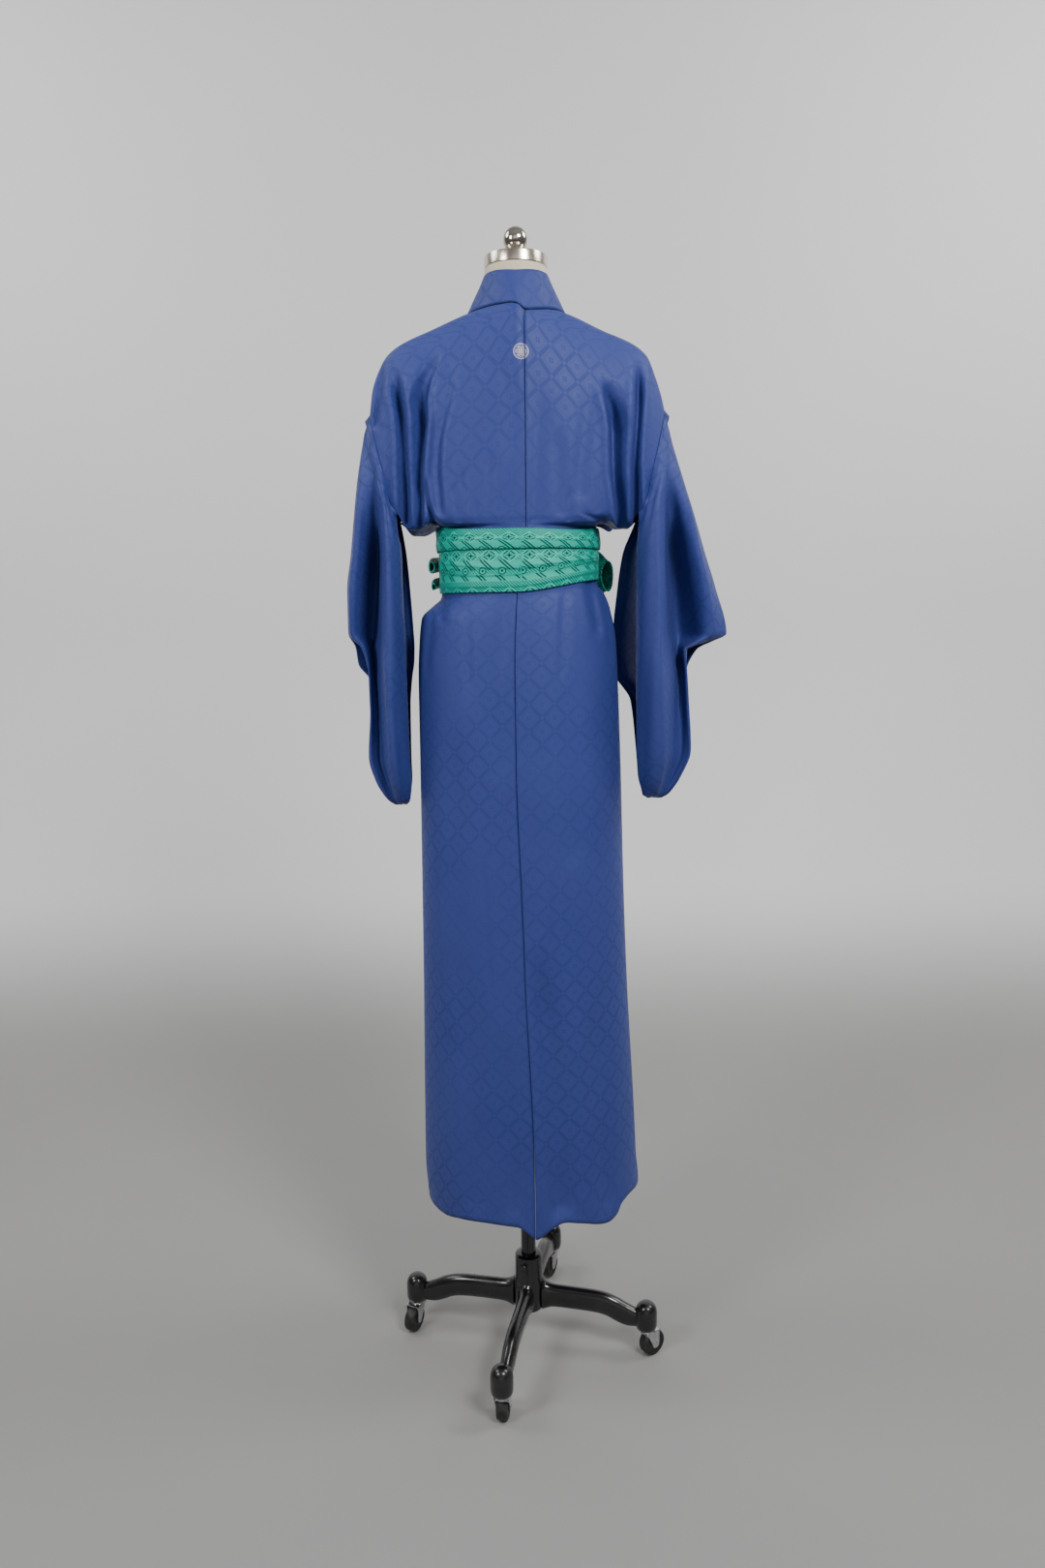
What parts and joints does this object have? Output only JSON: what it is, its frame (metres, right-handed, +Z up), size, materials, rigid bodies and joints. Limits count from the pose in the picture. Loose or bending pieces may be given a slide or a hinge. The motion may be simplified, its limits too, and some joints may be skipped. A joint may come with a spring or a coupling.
{
  "type": "kimono robe on a dress form",
  "caption": "Ankle-length silk kimono robe with hanging sleeves and a tied sash, worn on a limbless dress form with a castered stand.",
  "frame": {"origin": "middle of the bounding box at floor level, 27.5 mm to the -X side of the pole", "axes": "+Z up, the wearer's front towards -Y, the wearer's left towards +X"},
  "size_m": [0.615, 0.4498, 1.89],
  "materials": {
    "blue_silk": "soft satin damask",
    "green_sash_silk": "patterned satin",
    "form_cover": "matte plain weave",
    "brushed_steel": "brushed",
    "polished_steel": "polished",
    "black_enamel": "gloss enamel on cast metal",
    "caster_chrome": "bright plating",
    "caster_rubber": "matte"
  },
  "bodies": {
    "base": {"hub": "black_enamel", "clamp_screw": "black_enamel", "arm_back": "black_enamel", "arm_right": "black_enamel", "arm_front": "black_enamel", "arm_left": "black_enamel"},
    "mast": {"pole": "black_enamel"},
    "form": {"torso": "form_cover", "neck": "form_cover", "neck_cap": "brushed_steel", "finial": "polished_steel", "body_left": "blue_silk", "body_right": "blue_silk", "okumi_left": "blue_silk", "okumi_right": "blue_silk", "collar": "blue_silk", "sleeve_left": "blue_silk", "sleeve_right": "blue_silk", "sash_lower": "green_sash_silk", "sash_upper": "green_sash_silk", "sash_knot": "green_sash_silk", "sash_loop_right": "green_sash_silk", "sash_roll_left_upper": "green_sash_silk", "sash_roll_left_lower": "green_sash_silk", "sash_tail_long": "green_sash_silk", "sash_tail_short": "green_sash_silk"},
    "caster_back": {"fork_back": "caster_chrome"},
    "roller_back": {"wheel_back": "caster_rubber"},
    "caster_right": {"fork_right": "caster_chrome"},
    "roller_right": {"wheel_right": "caster_rubber"},
    "caster_front": {"fork_front": "caster_chrome"},
    "roller_front": {"wheel_front": "caster_rubber"},
    "caster_left": {"fork_left": "caster_chrome"},
    "roller_left": {"wheel_left": "caster_rubber"}
  },
  "joints": [
    {"name": "form_height", "type": "slide", "parent": "base", "child": "mast", "axis": [0, 0, 1], "range_m": [-0.06, 0.04]},
    {"name": "form_turn", "type": "hinge", "parent": "mast", "child": "form", "pos_m": [0.0275, 0, 1.15], "axis": [0, 0, 1], "continuous": true},
    {"name": "caster_back_swivel", "type": "hinge", "parent": "base", "child": "caster_back", "pos_m": [0.07353, 0.20592, 0.06], "axis": [0, 0, 1], "continuous": true},
    {"name": "caster_back_roll", "type": "hinge", "parent": "caster_back", "child": "roller_back", "pos_m": [0.07172, 0.19304, 0.023], "axis": [0.9903, -0.1392, 0], "continuous": true},
    {"name": "caster_right_swivel", "type": "hinge", "parent": "base", "child": "caster_right", "pos_m": [-0.17842, 0.04603, 0.06], "axis": [0, 0, 1], "continuous": true},
    {"name": "caster_right_roll", "type": "hinge", "parent": "caster_right", "child": "roller_right", "pos_m": [-0.18907, 0.03857, 0.023], "axis": [0.5736, -0.8191, 0], "continuous": true},
    {"name": "caster_front_swivel", "type": "hinge", "parent": "base", "child": "caster_front", "pos_m": [-0.01853, -0.20592, 0.06], "axis": [0, 0, 1], "continuous": true},
    {"name": "caster_front_roll", "type": "hinge", "parent": "caster_front", "child": "roller_front", "pos_m": [-0.01203, -0.19466, 0.023], "axis": [-0.866, 0.5, 0], "continuous": true},
    {"name": "caster_left_swivel", "type": "hinge", "parent": "base", "child": "caster_left", "pos_m": [0.23342, -0.04603, 0.06], "axis": [0, 0, 1], "continuous": true},
    {"name": "caster_left_roll", "type": "hinge", "parent": "caster_left", "child": "roller_left", "pos_m": [0.23891, -0.03425, 0.023], "axis": [-0.9063, 0.4226, 0], "continuous": true}
  ]
}
